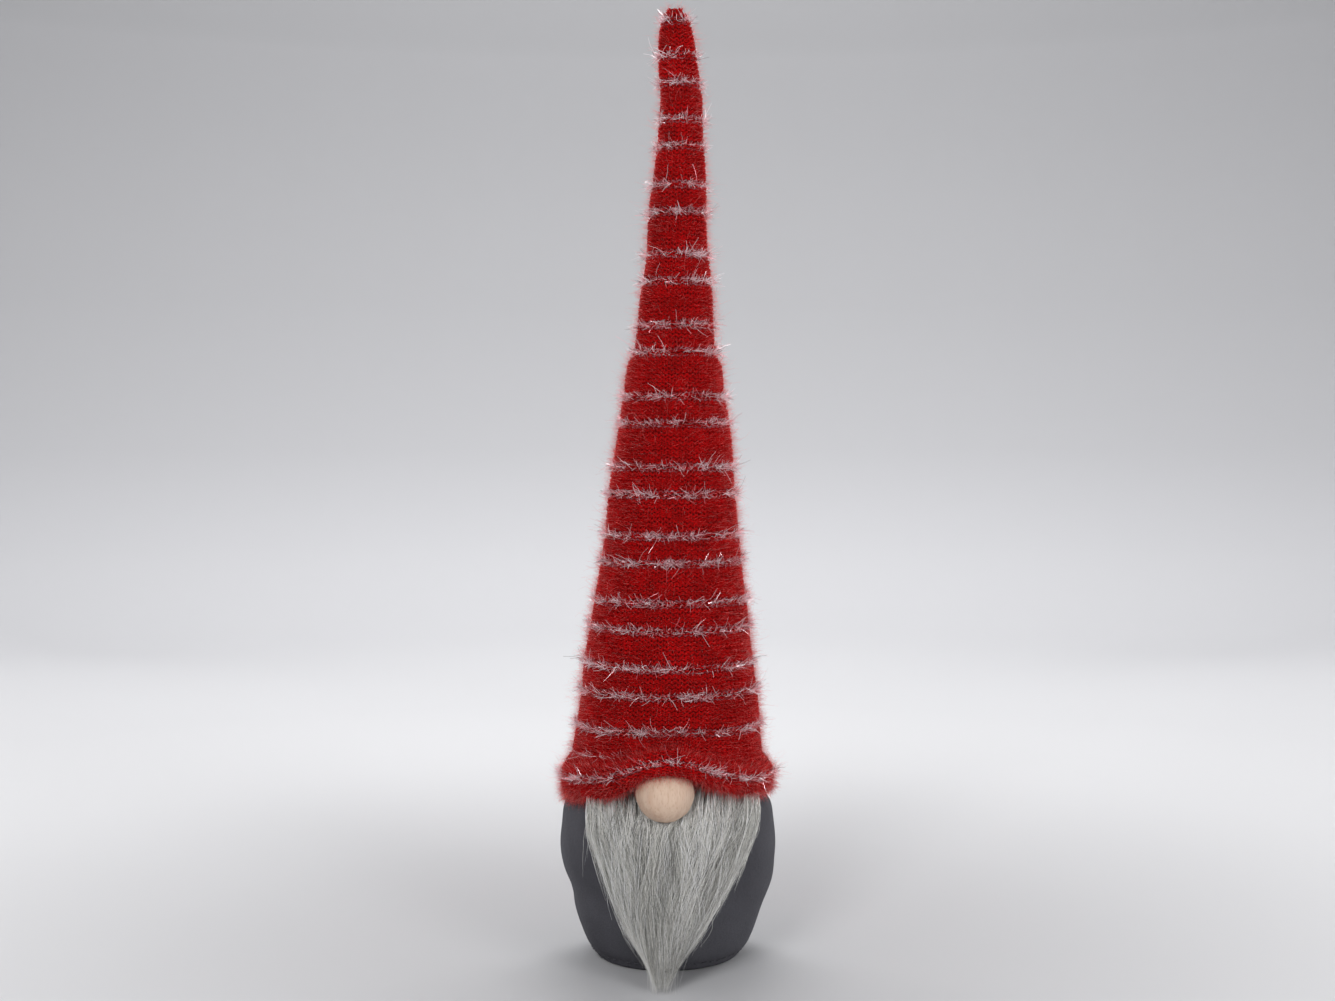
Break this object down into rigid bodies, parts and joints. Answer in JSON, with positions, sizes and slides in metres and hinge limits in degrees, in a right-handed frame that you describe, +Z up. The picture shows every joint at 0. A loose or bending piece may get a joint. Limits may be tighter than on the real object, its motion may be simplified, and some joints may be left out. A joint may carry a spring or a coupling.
{
  "type": "tomte gnome figurine",
  "caption": "Standing cloth tomte gnome with a weighted grey body, faux fur beard, ball nose and a tall red knitted hat with silver rows that bends to pose.",
  "frame": {"origin": "centre of the flat base, on the surface the figure stands on", "axes": "+Z up to the hat's tip, -Y the way the figure looks, +X to the right in a view from the front"},
  "size_m": [0.112, 0.1266, 0.4728],
  "materials": {
    "grey_cloth": "brushed",
    "card": "matte",
    "white_cotton": "matte",
    "pellets": "matte",
    "wadding": "matte",
    "tie": "satin",
    "hot_glue": "gloss",
    "fur_backing": "matte",
    "beard_fur": "silky",
    "nose_wood": "matte",
    "red_knit": "fuzzy",
    "silver_yarn": "glitter",
    "hat_wire": "satin"
  },
  "bodies": {
    "body": {"base_cover": "grey_cloth", "base_disc": "card", "weight_pouch": "white_cotton", "weight_pellets": "pellets", "body_filling": "wadding", "body_sack": "grey_cloth", "neck_tie": "tie", "beard_glue": "hot_glue", "beard_backing": "fur_backing", "beard_pile": "beard_fur", "nose_ball": "nose_wood", "nose_glue": "hot_glue", "hat_glue": "hot_glue", "hat_brim": "red_knit", "brim_silver_yarn": "silver_yarn", "hat_cone": "card", "knit_lower": "red_knit", "filling_lower": "wadding", "wire_lower": "hat_wire", "silver_yarn_lower": "silver_yarn", "knit_bend_lower": "red_knit", "wire_bend_lower": "hat_wire"},
    "hat_middle": {"knit_middle": "red_knit", "filling_middle": "wadding", "wire_middle": "hat_wire", "silver_yarn_middle": "silver_yarn", "knit_bend_middle": "red_knit", "wire_bend_middle": "hat_wire"},
    "hat_upper": {"knit_upper": "red_knit", "filling_upper": "wadding", "wire_upper": "hat_wire", "silver_yarn_upper": "silver_yarn", "knit_bend_upper": "red_knit", "wire_bend_upper": "hat_wire"},
    "hat_tip": {"knit_tip": "red_knit", "filling_tip": "wadding", "wire_tip": "hat_wire", "silver_yarn_tip": "silver_yarn", "tip_knot": "red_knit"}
  },
  "joints": [
    {"name": "hat_lean", "type": "hinge", "parent": "body", "child": "hat_middle", "pos_m": [0.0036, 0, 0.28968], "axis": [0, 1, 0], "range_deg": [-35, 35], "deforming": ["knit_bend_lower", "wire_bend_lower"]},
    {"name": "hat_nod", "type": "hinge", "parent": "hat_middle", "child": "hat_upper", "pos_m": [0.005, 0, 0.35911], "axis": [1, 0, 0], "range_deg": [-50, 50], "deforming": ["knit_bend_middle", "wire_bend_middle"]},
    {"name": "tip_droop", "type": "hinge", "parent": "hat_upper", "child": "hat_tip", "pos_m": [0.0069, 0, 0.42438], "axis": [0, 1, 0], "range_deg": [-55, 55], "deforming": ["knit_bend_upper", "wire_bend_upper"]}
  ]
}
